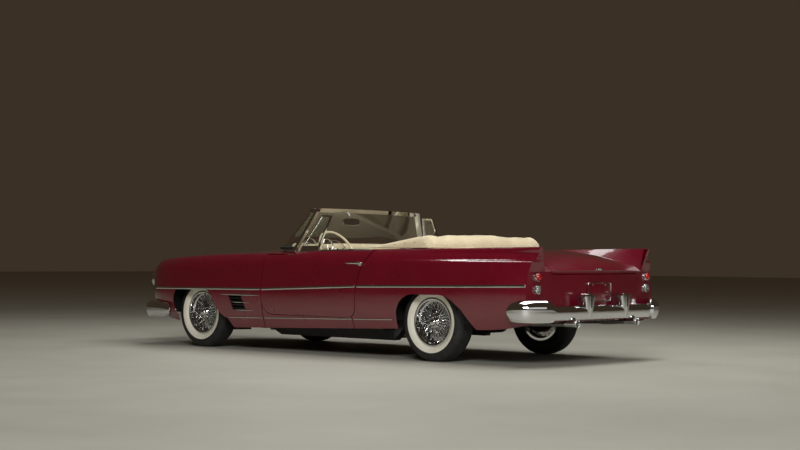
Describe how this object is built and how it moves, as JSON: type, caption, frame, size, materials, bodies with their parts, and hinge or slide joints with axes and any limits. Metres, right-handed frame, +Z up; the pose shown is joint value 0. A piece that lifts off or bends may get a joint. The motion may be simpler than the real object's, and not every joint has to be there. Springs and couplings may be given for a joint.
{
  "type": "two-door convertible car",
  "caption": "Two-door open-top car with a maroon body, tail fins, wire wheels, whitewall tyres and a folded top under a cream boot.",
  "frame": {"origin": "floor under the middle of the overall length and width, wheels standing on the floor", "axes": "+Z up, front faces -Y, the car's left side is +X"},
  "size_m": [1.976, 5.169, 1.3252],
  "materials": {
    "body_paint": "maroon clearcoat paint",
    "chassis_black": "satin black",
    "exhaust_steel": "steel",
    "chrome": "polished",
    "window_glass": "clear",
    "clear_lens": "clear",
    "red_lens": "red",
    "tyre_rubber": "matt with white sidewall",
    "seat_leather": "cream",
    "boot_canvas": "cream canvas",
    "dash_paint": "painted",
    "wheel_plastic": "cream"
  },
  "bodies": {
    "body": {"boot_cover": "boot_canvas", "cowl_panel": "body_paint", "dashboard": "dash_paint", "deck_panel": "body_paint", "door_posts": "chassis_black", "engine_block": "chassis_black", "exhaust_pipes": "exhaust_steel", "fender_vents": "chrome", "firewall": "chassis_black", "floor_pan": "chassis_black", "frame_rails": "chassis_black", "front_bumper": "chrome", "front_fender_left": "body_paint", "front_fender_right": "body_paint", "front_seats": "seat_leather", "front_suspension": "chassis_black", "front_wheelhouses": "chassis_black", "grille": "chrome", "headlamps": "clear_lens", "leaf_springs": "chassis_black", "nose_panel": "body_paint", "plate_frame": "chrome", "rear_axle": "chassis_black", "rear_bumper": "chrome", "rear_quarter_left": "body_paint", "rear_quarter_right": "body_paint", "rear_seat": "seat_leather", "rear_view_mirror": "chrome", "rear_wheelhouses": "chassis_black", "reverse_lamps": "clear_lens", "sills": "body_paint", "steering_column": "wheel_plastic", "tail_lamps": "red_lens", "tail_panel": "body_paint", "trunk_floor": "chassis_black", "windshield_frame": "chrome", "windshield_glass": "window_glass"},
    "hood": {"hood": "body_paint"},
    "trunk_lid": {"trunk_lid": "body_paint", "trunk_handle": "chrome"},
    "door_left": {"door_left": "body_paint", "vent_frame_left": "chrome", "vent_glass_left": "window_glass", "door_handle_left": "chrome"},
    "knuckle_left": {"knuckle_left": "chassis_black"},
    "door_right": {"door_right": "body_paint", "vent_frame_right": "chrome", "vent_glass_right": "window_glass", "door_handle_right": "chrome"},
    "knuckle_right": {"knuckle_right": "chassis_black"},
    "wheel_front_left": {"tyre_front_left": "tyre_rubber", "wire_wheel_front_left": "chrome"},
    "wheel_front_right": {"tyre_front_right": "tyre_rubber", "wire_wheel_front_right": "chrome"},
    "wheel_rear_left": {"tyre_rear_left": "tyre_rubber", "wire_wheel_rear_left": "chrome"},
    "wheel_rear_right": {"tyre_rear_right": "tyre_rubber", "wire_wheel_rear_right": "chrome"},
    "steering_wheel": {"steering_wheel": "wheel_plastic"}
  },
  "joints": [
    {"name": "hood_hinge", "type": "hinge", "parent": "body", "child": "hood", "pos_m": [0, -0.852, 0.958], "axis": [-1, 0, 0], "range_deg": [0, 50]},
    {"name": "trunk_hinge", "type": "hinge", "parent": "body", "child": "trunk_lid", "pos_m": [0, 1.462, 0.957], "axis": [1, 0, 0], "range_deg": [0, 60]},
    {"name": "door_left_hinge", "type": "hinge", "parent": "body", "child": "door_left", "pos_m": [0.9605, -0.56, 0.5], "axis": [0, 0, -1], "range_deg": [0, 65]},
    {"name": "door_right_hinge", "type": "hinge", "parent": "body", "child": "door_right", "pos_m": [-0.9605, -0.56, 0.5], "axis": [0, 0, 1], "range_deg": [0, 65]},
    {"name": "steering_wheel_turn", "type": "hinge", "parent": "body", "child": "steering_wheel", "pos_m": [0.4, -0.155, 0.917], "axis": [0, 0.866, 0.5], "range_deg": [-540, 540]},
    {"name": "steer_left", "type": "hinge", "parent": "body", "child": "knuckle_left", "pos_m": [0.61, -1.5555, 0.33], "axis": [0, 0, 1], "range_deg": [-30, 30]},
    {"name": "spin_front_left", "type": "hinge", "parent": "knuckle_left", "child": "wheel_front_left", "pos_m": [0.735, -1.5555, 0.33], "axis": [1, 0, 0], "continuous": true},
    {"name": "spin_rear_left", "type": "hinge", "parent": "body", "child": "wheel_rear_left", "pos_m": [0.745, 1.3655, 0.33], "axis": [1, 0, 0], "continuous": true},
    {"name": "steer_right", "type": "hinge", "parent": "body", "child": "knuckle_right", "pos_m": [-0.61, -1.5555, 0.33], "axis": [0, 0, 1], "range_deg": [-30, 30]},
    {"name": "spin_front_right", "type": "hinge", "parent": "knuckle_right", "child": "wheel_front_right", "pos_m": [-0.735, -1.5555, 0.33], "axis": [1, 0, 0], "continuous": true},
    {"name": "spin_rear_right", "type": "hinge", "parent": "body", "child": "wheel_rear_right", "pos_m": [-0.745, 1.3655, 0.33], "axis": [1, 0, 0], "continuous": true}
  ],
  "couplings": [
    {"joint": "steer_left", "follows": "steering_wheel_turn", "ratio": 0.055555},
    {"joint": "steer_right", "follows": "steering_wheel_turn", "ratio": 0.055555}
  ]
}
